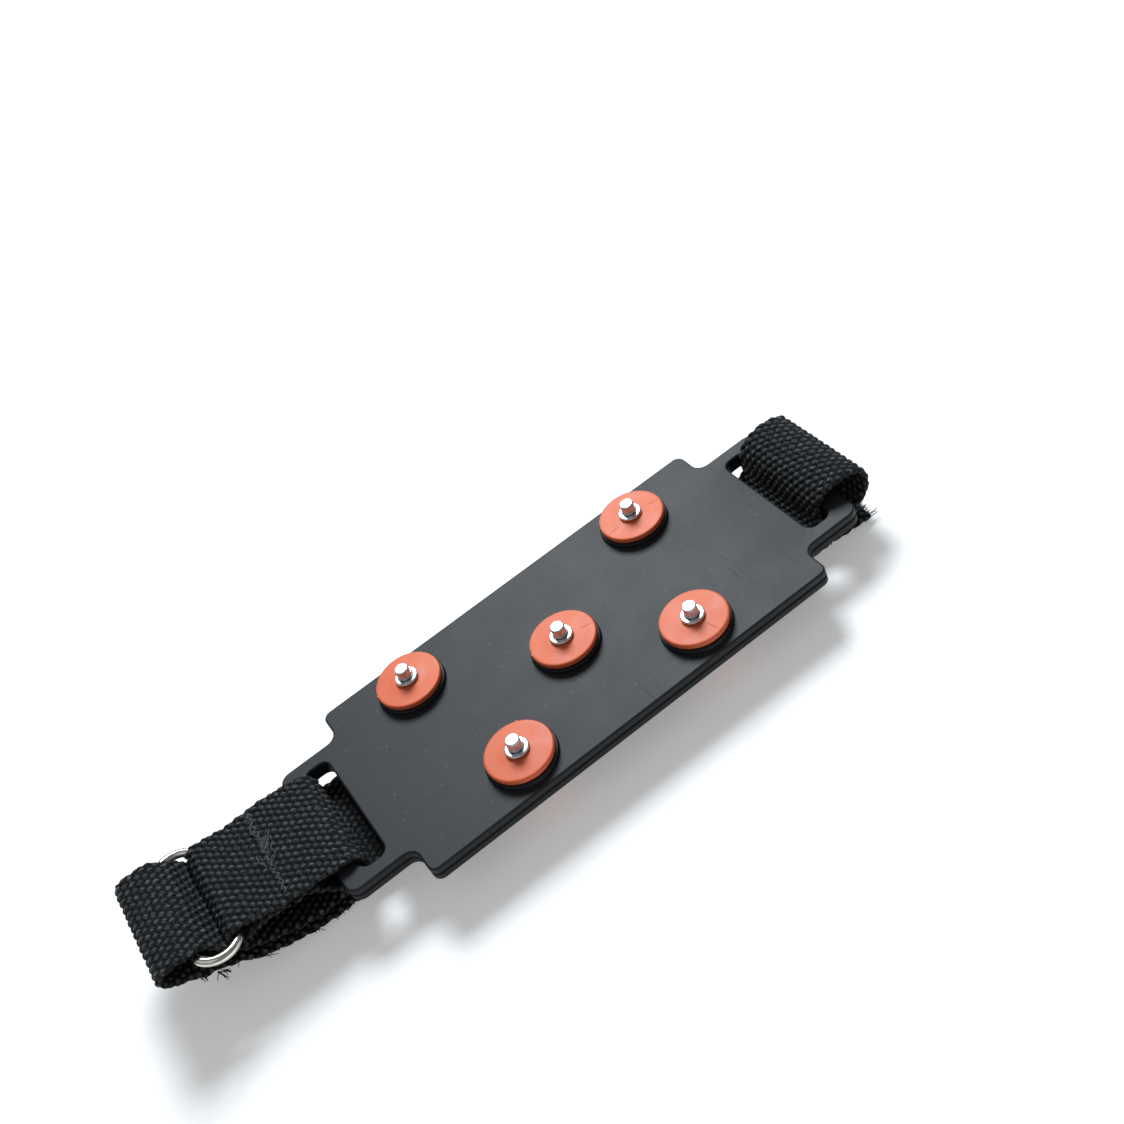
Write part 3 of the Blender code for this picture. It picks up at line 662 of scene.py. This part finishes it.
def seat_profile(bottom, top):
    """The inner disc, with a recess for the stud's head."""
    recess, recess_radius = bottom + 1.25, 4.7
    profile = [(HOLE_RADIUS, recess), (recess_radius, recess), (recess_radius, bottom)]
    return profile + round_corner((8.5, bottom + 0.5), 0.5, -90, 0) + [(9.0, top), (HOLE_RADIUS, top)]


def collar_profile(bottom, top, radius):
    profile = round_corner((radius - 0.35, bottom + 0.35), 0.35, -90, 0)
    profile += round_corner((radius - 0.42, top - 0.42), 0.42, 0, 90)
    return profile + [(HOLE_RADIUS, top), (2.2, top - 0.12), (2.2, bottom)]


def pin_profile(head, tip):
    """A straight pin with a flat round head below and a rounded tip."""
    top = head + PIN_HEAD_HEIGHT
    profile = [(0.0, head)] + round_corner((PIN_HEAD_RADIUS - 0.3, head + 0.3), 0.3, -90, 0)
    profile += [(PIN_HEAD_RADIUS, top), (PIN_RADIUS, top), (PIN_RADIUS, tip - 0.55)]
    profile += round_corner((PIN_RADIUS - 0.4, tip - 0.4), 0.4, 5, 80)
    return profile + [(1.2, tip - 0.01), (0.0, tip - 0.06)]


def make_studs():
    """Each stud's outer and inner disc, collar and pin."""
    for number, place in enumerate(STUD_PLACES, 1):
        low, high = box_mm(f"outer_disc_{number}")
        profile = disc_profile(low[2], high[2], (high[0] - low[0]) / 2)
        disc = lathe(f"orange_disc_{number}", profile, place, 192, PLASTIC, *MOULD_MARKS[number])
        finish_piece(disc, "plate", "orange_plastic", f"outer_disc_{number}")

        low, high = box_mm(f"inner_disc_{number}")
        seat = lathe(f"inner_orange_disc_{number}", seat_profile(low[2], high[2]), place, 96, PLASTIC)
        finish_piece(seat, "plate", "orange_plastic", f"inner_disc_{number}")

        low, high = box_mm(f"stud_collar_{number}")
        profile = collar_profile(low[2], high[2], (high[0] - low[0]) / 2)
        collar = lathe(f"steel_collar_{number}", profile, place, 96, STEEL)
        finish_piece(collar, "plate", "zinc_steel", f"stud_collar_{number}")

        low, high = box_mm(f"stud_{number}")
        pin = lathe(f"steel_stud_{number}", pin_profile(low[2], high[2]), place, 72, STEEL)
        finish_piece(pin, "plate", "zinc_steel", f"stud_{number}")


def finish_piece(thing, body, slot, *nodes):
    """Attach a piece to its body; nodes are the CAD pieces that it stands in for. The material slot, slot, is
    not used.
    """
    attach(thing, body)
    if nodes:
        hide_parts(*nodes)


# ---------------------------------------------------------------- ring
RING_PIVOT = (-112.8, 19.4)
RING_TILT = math.radians(12.0)
RING_SPACING = 13.0             # between the middles of its two straight sides
RING_HALF_LENGTH = 19.95
WIRE = 1.3                      # radius of the wire
BEND_STEPS, SIDE_STEPS, WIRE_STEPS = 48, 12, 28


def make_ring():
    """A closed loop of round wire: two straight sides joined by half circles, tilted about its pivot."""
    radius = RING_SPACING / 2
    straight = RING_HALF_LENGTH - radius
    far_bend = arc((-radius, straight), radius, 0, 180, BEND_STEPS)
    near_bend = arc((-radius, -straight), radius, 180, 360, BEND_STEPS)
    between = np.linspace(0, 1, SIDE_STEPS + 1)[1:-1, None]
    left = far_bend[-1] + (near_bend[0] - far_bend[-1]) * between
    right = near_bend[-1] + (far_bend[0] - near_bend[-1]) * between
    line = np.concatenate([far_bend, left, near_bend, right])
    along = np.roll(line, -1, 0) - np.roll(line, 1, 0)
    along /= np.linalg.norm(along, axis=1)[:, None]
    outward = np.column_stack([along[:, 1], -along[:, 0], np.zeros(len(line))])
    turn = np.arange(WIRE_STEPS) * TAU / WIRE_STEPS
    centre = np.column_stack([line, np.zeros(len(line))])
    points = centre[:, None] + WIRE * (outward[:, None] * np.cos(turn)[None, :, None]
                                       + np.array([0, 0, 1.0]) * np.sin(turn)[None, :, None])
    flat = points.reshape(-1, 3)
    cos, sin = math.cos(RING_TILT), math.sin(RING_TILT)
    x, y, z = flat.T
    tilted = np.column_stack([x * cos + z * sin, y, -x * sin + z * cos])
    tilted += (RING_PIVOT[0], STRAP_Y, RING_PIVOT[1])
    faces = ring_faces(len(line), WIRE_STEPS, caps=False)
    last = (len(line) - 1) * WIRE_STEPS
    for j in range(WIRE_STEPS):
        k = (j + 1) % WIRE_STEPS
        faces.append([last + j, last + k, k, j])
    ring = new_object("wire_ring", tilted, faces, NICKEL)
    fix_normals(ring)
    finish_piece(ring, "ring", "nickel_wire", "ring")


# ---------------------------------------------------------------- straps
END_LEVEL = 1.65                # middle of the webbing on the way back
STRAP_LEVEL = 5.05              # and on the way out, under the plate
# (x, z) of the long strap's middle line: cut end, fold over the ring, under the plate, loop round the far ear
LONG_STRAP = [
    (92.5, END_LEVEL), (40.0, END_LEVEL), (-20.0, END_LEVEL), (-78.0, END_LEVEL), (-86.0, 2.0), (-94.0, 3.0),
    (-102.0, 4.9), (-110.0, 7.7), (-117.0, 11.0), (-124.0, 14.6), (-127.6, 17.0), (-131.2, 19.1),
    (-133.7, 20.7), (-134.75, 21.7), (-135.0, 22.7), (-134.8, 23.8), (-133.9, 24.8), (-132.0, 25.3),
    (-128.5, 25.4), (-124.8, 24.9), (-121.6, 23.0), (-119.4, 20.2), (-117.0, 17.2), (-113.4, 14.3),
    (-108.5, 11.7), (-102.0, 9.0), (-94.0, 7.0), (-86.0, 6.4), (-78.0, 6.4), (-68.0, 6.1),
    (-50.0, STRAP_LEVEL), (-20.0, STRAP_LEVEL), (40.0, STRAP_LEVEL), (78.0, STRAP_LEVEL),
    (84.5, 5.9), (89.6, 8.2), (93.2, 11.9), (94.4, 15.8), (93.1, 19.3), (89.5, 21.2), (85.0, 21.2),
    (80.9, 19.9), (78.4, 17.3), (77.55, 14.0), (77.2, 10.8), (75.4, 8.6), (71.5, 7.2), (66.0, 6.35),
    (60.0, 6.35), (54.0, 6.35),
]


def strap_half_width(x):
    """The band narrows a little where it goes through the ring."""
    nearness = np.clip(1 - np.abs(x + 120.0) / 6.0, 0, 1)
    return FULL_HALF_WIDTH - 0.9 * smoothstep(nearness, 0, 0.6)


def strap_shift(x):
    """The band's middle drifts sideways at the slots and towards the ring."""
    slots = 2.7 * np.exp(-((x + 73.0) / 18.0) ** 2) + 1.1 * np.exp(-((x - 76.0) / 9.0) ** 2)
    return STRAP_Y + 0.9 * smoothstep(-x, 50.0, 125.0) + slots


def station_run(*spans):
    """Distances along a route, each span as (from, to, spacing)."""
    runs = [np.arange(start, end, spacing) for start, end, spacing in spans]
    return np.concatenate(runs + [[spans[-1][1]]])


def distance_at(route, x, which):
    """Distance along the route where it crosses x: which=0 the first time, 1 the second, and so on."""
    distance, curve, _ = route
    crossing = np.nonzero(np.diff((curve[:, 0] > x).astype(int)))[0]
    return distance[crossing[which]]


def make_long_strap():
    """The long strap in four pieces: free end, fold over the ring, run under the plate, ear loop."""
    route = smooth_route(LONG_STRAP)
    end = route[0][-1]
    fold_low, fold_high = distance_at(route, -128.0, 0), distance_at(route, -128.0, 1)
    slope = distance_at(route, -76.0, 0)
    rise = distance_at(route, -74.0, 1)
    split = distance_at(route, 60.0, 1)
    ear = distance_at(route, 76.0, 1)
    tail = end - 20

    stations = station_run((0, 9, 0.3), (9, slope, 1.1), (slope, fold_low, 0.4))
    free_end = band("webbing_free_end", route, stations, strap_half_width, strap_shift, face=-1, fine=110,
                    coarse=80, back_relief=0.8)
    finish_piece(free_end, "strap_end", "webbing", "strap_end")

    stations = station_run((fold_low, fold_high, 0.24))
    fold = band("webbing_fold", route, stations, strap_half_width, strap_shift)

    stations = station_run((fold_high, rise, KNOT_STEP), (rise, split, 1.0))
    upper = band("webbing_rise", route, stations, strap_half_width, strap_shift)
    finish_piece(upper, "strap", "webbing", "main_strap", "ring_fold")

    stations = station_run((split, ear, 0.6), (ear, tail, KNOT_STEP), (tail, end, 0.5))
    loop = band("webbing_ear_loop", route, stations, strap_half_width, strap_shift, face=-1)
    finish_piece(loop, "strap", "webbing")
    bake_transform(fold)
    return route


EAR_BAR = (-82.3, 13.5)         # middle of the ear's end bar, and of the short strap's loop round it
GATHERED_HALF_WIDTH = 16.9


def ring_strap_route():
    """Short strap's middle line: round the ear bar, along the top, round the ring and back underneath."""
    ear = arc(EAR_BAR, 4.85, -135, 70, 14)
    eye = arc(RING_PIVOT, 2.75, 88, 262, 8)
    points = [(-97.6, 18.6), (-93.0, 17.9), (-89.6, 14.6)] + ear.tolist()
    points += [(-86.0, 18.75), (-92.5, 19.6), (-98.0, 20.0), (-104.0, 20.6), (-109.0, 21.6)] + eye.tolist()
    points += [(-109.4, 17.9), (-104.0, 19.1), (-98.6, 18.75)]
    return smooth_route(points)


def ring_strap_half_width(x):
    """The short strap is gathered where it goes round the ring."""
    return FULL_HALF_WIDTH + (GATHERED_HALF_WIDTH - FULL_HALF_WIDTH) * smoothstep(-x, 92.0, 111.0)


def ring_strap_shift(x):
    return STRAP_Y + 0.25 * np.sin(x * 0.2)


def seam_level(x):
    """Height of the short strap's top where the seam runs."""
    return 21.62 - 0.087 * (x + 97.5)


def make_ring_strap():
    """The short strap and the seam that closes it."""
    route = ring_strap_route()
    end = route[0][-1]
    stations = station_run((0, 8, 0.5), (8, end - 16, KNOT_STEP), (end - 16, end, 0.5))
    strap = band("webbing_ring_strap", route, stations, ring_strap_half_width, ring_strap_shift, face=-1,
                 coarse=50, back_relief=0.4, phase=2.0)
    finish_piece(strap, "ring_strap", "webbing", "ring_strap")

    lines = []
    for stitches, middle in ((33, -97.2), (25, -96.9)):
        line = []
        for index, y in enumerate(np.linspace(-15.6, 16.6, stitches)):
            x = middle + 0.035 * y + (0.6 if index % 2 else -0.6) + rng.normal(0, 0.18)
            line.append((x, y + rng.normal(0, 0.12), seam_level(x) + 0.10 * math.sin(index * 1.7)))
        lines.append(dense(line, 4))
    lines += slack_stitches(9)
    seam = tubes("ring_strap_seam", lines, 0.13, 8, THREAD, taper=0.9)
    finish_piece(seam, "ring_strap", "webbing")


def slack_stitches(count):
    """Loose stitches that lie over the seam."""
    lines = []
    share = np.linspace(0, 1, 12)
    for _ in range(count):
        x, y = -97.0 + rng.normal(0, 0.9), rng.uniform(-9.0, 10.0)
        run = x + rng.uniform(-2.6, 2.6) * share + rng.normal(0, 0.5) * np.sin(TAU * share)
        lines.append(np.column_stack([run, y + rng.uniform(2.5, 6.0) * share,
                                      seam_level(run) + 0.05 + 0.30 * np.sin(math.pi * share)]))
    return lines


def dense(points, steps):
    """The same polyline with each of its legs cut into equal steps."""
    points = np.asarray(points, float)
    t = np.linspace(0, len(points) - 1, (len(points) - 1) * steps + 1)
    return np.stack([np.interp(t, np.arange(len(points)), points[:, axis]) for axis in range(3)], -1)


TAPE_HALF_WIDTH = 17.0
TAPE_BASE = 0.62                # from the strap's middle to the tape's underside
PILE_THICKNESS, HOOK_THICKNESS = 0.75, 0.50
SEAM_ACROSS = 14.6              # where a tape's woven edge begins
TAPE_EDGE = 0.025               # share of the tape's half width taken by its rounded edge


def slab(name, route, stations, side, thickness, material, bumps, body, slot, node):
    """A tape sewn on a face of the strap: a thin closed strip at a distance from the route."""
    s = np.asarray(stations)
    centre, out = along_route(route, s)
    out = side * out
    v = np.linspace(-1, 1, 64)
    y = v[None, :] * (TAPE_HALF_WIDTH + 0.15 * np.sin(s * 1.9))[:, None]
    into_edge = np.clip((np.abs(v) - (1 - TAPE_EDGE)) / TAPE_EDGE, 0, 1)
    edge = np.sqrt(1 - into_edge**2)[None, :]
    high = TAPE_BASE + thickness * (0.25 + 0.75 * edge) + bumps(s[:, None], y) * edge
    low = np.full_like(high, TAPE_BASE)
    shift = strap_shift(centre[:, 0])
    layers = []
    for level, across in ((high, y), (low, y[:, ::-1])):
        points = np.empty((*level.shape, 3))
        points[..., 0] = centre[:, None, 0] + out[:, None, 0] * level
        points[..., 1] = shift[:, None] + across
        points[..., 2] = centre[:, None, 1] + out[:, None, 1] * level
        layers.append(points)
    points = np.concatenate(layers, 1)
    thing = new_object(name, points.reshape(-1, 3), ring_faces(len(s), points.shape[1]), material)
    fix_normals(thing)
    finish_piece(thing, body, slot, node)


def pile_bumps(s, y):
    """Uneven brushed surface of the loop tape."""
    tufts = np.sin(s * 2.3 + 1.3 * np.sin(y * 1.7)) * np.sin(y * 2.9 + np.sin(s * 1.1))
    return 0.10 * tufts + 0.05 * np.sin(s * 7.1 + y * 5.3)


def selvedge_bumps(s, y):
    """Pile in the middle, ribs on the woven edges, and a stitched groove between them."""
    rib = np.where(np.abs(y) > SEAM_ACROSS, 0.10 * np.sin(TAU * s), pile_bumps(s, y))
    return rib - 0.12 * (np.abs(np.abs(y) - SEAM_ACROSS) < 0.35)


def hook_bumps(s, y):
    return 0.02 * np.sin(s * 4.5)


PILE_LOOPS = 1500               # on each loop tape
HOOK = [(0.0, 0.0), (0.0, 0.24), (0.08, 0.36), (0.24, 0.40), (0.36, 0.33), (0.40, 0.20)]


def stand_on_tape(name, route, spots, side, level, shape, radius, material, body, slot):
    """One tube of the given (forward, up) shape at every (distance, across, heading) spot of a tape's face."""
    lines = []
    for s, y, heading in spots:
        centre, out = along_route(route, [s])
        centre, out = centre[0], side * out[0]
        shift = strap_shift(centre[0])
        line = []
        for forward, up in shape:
            height = level + up
            line.append((centre[0] + forward * math.cos(heading) + out[0] * height,
                         shift + y + forward * math.sin(heading), centre[1] + out[1] * height))
        lines.append(line)
    thing = tubes(name, lines, radius, 5, material, taper=0.8)
    finish_piece(thing, body, slot)


def make_tapes(route):
    """Loop tape on the outside of the free end and under the strap, and hook tape facing it."""
    low_flat, flat_end, slope_top = (distance_at(route, x, 0) for x in (86.0, -76.0, -112.0))
    hook_low, hook_high = distance_at(route, 76.0, 0), distance_at(route, 12.0, 0)
    pile_start, pile_stop = distance_at(route, -72.0, 1), distance_at(route, 76.0, 1)
    slab("pile_tape_outer", route, station_run((low_flat, flat_end, 0.8), (flat_end, slope_top, 0.4)), 1,
         PILE_THICKNESS, PILE, selvedge_bumps, "strap_end", "loop_pile", "outer_loop_tape")
    slab("hook_tape_inner", route, station_run((hook_low, hook_high, 0.8)), -1,
         HOOK_THICKNESS, HOOKS, hook_bumps, "strap_end", "hook_tape", "hook_tape")
    slab("pile_tape_inner", route, station_run((pile_start, pile_stop, 0.5)), -1,
         PILE_THICKNESS, PILE, selvedge_bumps, "strap", "loop_pile", "inner_loop_tape")

    spots = [(s, y, 0.0 if row % 2 else math.pi) for row, y in enumerate(np.arange(-15.6, 15.8, 1.2))
             for s in np.arange(hook_low + 1.0, hook_high - 1.0, 1.7)]
    hook_face = TAPE_BASE + HOOK_THICKNESS - 0.06
    stand_on_tape("hooks", route, spots, -1, hook_face, HOOK, 0.09, HOOKS, "strap_end", "hook_tape")

    pile_face = TAPE_BASE + PILE_THICKNESS - 0.04
    share = np.linspace(0, 1, 6)
    tapes = (("pile_loops_inner", pile_start, pile_stop, -1, 0.34, "strap"),
             ("pile_loops_outer", low_flat, flat_end, 1, 0.16, "strap_end"))
    for name, start, stop, side, height, body in tapes:
        shape = np.column_stack([1.5 * share, 0.02 + height * np.sin(math.pi * share)])
        spots = np.column_stack([rng.uniform(start + 1, stop - 3, PILE_LOOPS),
                                 rng.uniform(-14.0, 14.0, PILE_LOOPS), rng.uniform(0, TAU, PILE_LOOPS)])
        stand_on_tape(name, route, spots, side, pile_face, shape, 0.07, PILE, body, "loop_pile")


FRAYED_YARNS = 150
# (x, count, reach) of the tufts on the strap's lower edge near the ring
TUFTS = ((-123.0, 9, 2.6), (-121.6, 7, 1.6), (-126.5, 4, 1.5), (-112.0, 3, 1.8), (-98.0, 3, 1.2))


def make_cut_end():
    """Frayed yarns at the strap's cut end."""
    lines = []
    t = np.linspace(0, 1, 5)[:, None]
    for _ in range(FRAYED_YARNS):
        y = rng.uniform(-17.6, 18.0)
        z = END_LEVEL + rng.uniform(-0.55, 0.6)
        length = rng.uniform(0.6, 2.4) * (1.5 if abs(y) > 15 else 1.0)
        lean = rng.normal(0, 0.35, 2)
        heading = np.array([[length, lean[0] * length, lean[1] * length * 0.7]])
        curl = np.array([[0, rng.normal(0, 0.4), rng.normal(0, 0.25)]])
        line = np.array([[92.1, y, z]]) + t * heading + t**2 * curl
        line[:, 2] = np.clip(line[:, 2], 0.25, 9)
        lines.append(line)
    fray = tubes("frayed_cut_end", lines, 0.13, 5, YARN_END)
    finish_piece(fray, "strap_end", "webbing")


def lower_edge(route, x):
    """Where the free end's -Y edge is at x: its y and the height of its middle."""
    distance, curve, _ = route
    way_back = distance < distance_at(route, -130.0, 0)
    height = np.interp(-x, -curve[way_back, 0], curve[way_back, 1])
    return strap_shift(np.float64(x)) - FULL_HALF_WIDTH + 0.35, height


def make_edge_yarns(route):
    """Loose yarns along the free end's lower edge, most of them in tufts near the ring."""
    lines = []
    t = np.linspace(0, 1, 7)[:, None]
    for x, count, reach in TUFTS:
        for _ in range(count):
            spot = x + rng.normal(0, 0.5)
            edge, z = lower_edge(route, spot)
            start = np.array([spot, edge, z + rng.uniform(-0.5, 0.1)])
            length = reach * rng.uniform(0.5, 1.1)
            heading = np.array([rng.normal(0.25, 0.5), -0.75, rng.normal(-0.5, 0.25)])
            lines.append(start + t * heading * length + t**2 * rng.normal(0, 0.5, 3))
    t = np.linspace(0, 1, 5)[:, None]
    for x in np.arange(-118.0, 90.0, 2.3):
        spot = x + rng.normal(0, 0.8)
        edge, z = lower_edge(route, spot)
        length = rng.uniform(0.4, 1.0)
        heading = np.array([rng.normal(0, 0.5), -0.9, rng.normal(-0.1, 0.4)])
        lines.append(np.array([spot, edge, z + rng.uniform(-0.4, 0.4)]) + t * heading * length)
    strays = tubes("stray_yarns", lines, 0.12, 5, YARN_END)
    finish_piece(strays, "strap_end", "webbing")


# ---------------------------------------------------------------- stage
FLOOR_HALF = 3.0                # metres
FLOOR_DROP = -0.0002            # metres; keeps the floor clear of the strap that lies on it


def panel(name, direction, distance, width, power, colour):
    """A square area light aimed at the origin; distance and width in metres."""
    light = bpy.data.lights.new(name, "AREA")
    light.size = width
    light.energy = power
    light.color = colour
    thing = bpy.data.objects.new(name, light)
    way = Vector(direction).normalized()
    thing.location = way * distance
    thing.rotation_euler = (-way).to_track_quat("-Z", "Y").to_euler()
    bpy.context.scene.collection.objects.link(thing)


def make_stage():
    """Pale floor, even room light, two soft panels and the camera."""
    scene = bpy.context.scene
    corners = [(sx * FLOOR_HALF, sy * FLOOR_HALF) for sx, sy in ((-1, -1), (1, -1), (1, 1), (-1, 1))]
    mesh = bpy.data.meshes.new("floor")
    mesh.from_pydata([(x, y, FLOOR_DROP) for x, y in corners], [], [(0, 1, 2, 3)])
    mesh.materials.append(floor_material())
    floor = bpy.data.objects.new("floor", mesh)
    scene.collection.objects.link(floor)

    world = bpy.data.worlds.new("studio")
    world.use_nodes = True
    background = world.node_tree.nodes["Background"]
    background.inputs["Color"].default_value = (0.97, 0.985, 1.0, 1)
    background.inputs["Strength"].default_value = 0.20
    scene.world = world

    panel("key", (0.25, 0.62, 0.78), 1.0, 0.42, 12.6, (0.90, 0.96, 1.0))
    panel("fill", (-0.55, -0.35, 0.75), 1.3, 1.2, 1.6, (0.95, 0.98, 1.0))

    data = bpy.data.cameras.new("camera")
    camera = bpy.data.objects.new("camera", data)
    data.sensor_width = 36.0
    data.lens = 45.58
    data.clip_start = 0.01
    camera.location = (-0.05613, -0.26791, 0.29956)
    camera.rotation_euler = Euler([math.radians(angle) for angle in (43.764697, 19.307782, -32.820360)], "XYZ")
    scene.collection.objects.link(camera)
    scene.camera = camera
    scene.view_settings.view_transform = "Standard"


make_stage()
plate = make_plate()
finish_piece(plate, "plate", "rubber", "sole_plate")
make_studs()
make_ring()
long_route = make_long_strap()
make_ring_strap()
make_tapes(long_route)
make_cut_end()
make_edge_yarns(long_route)
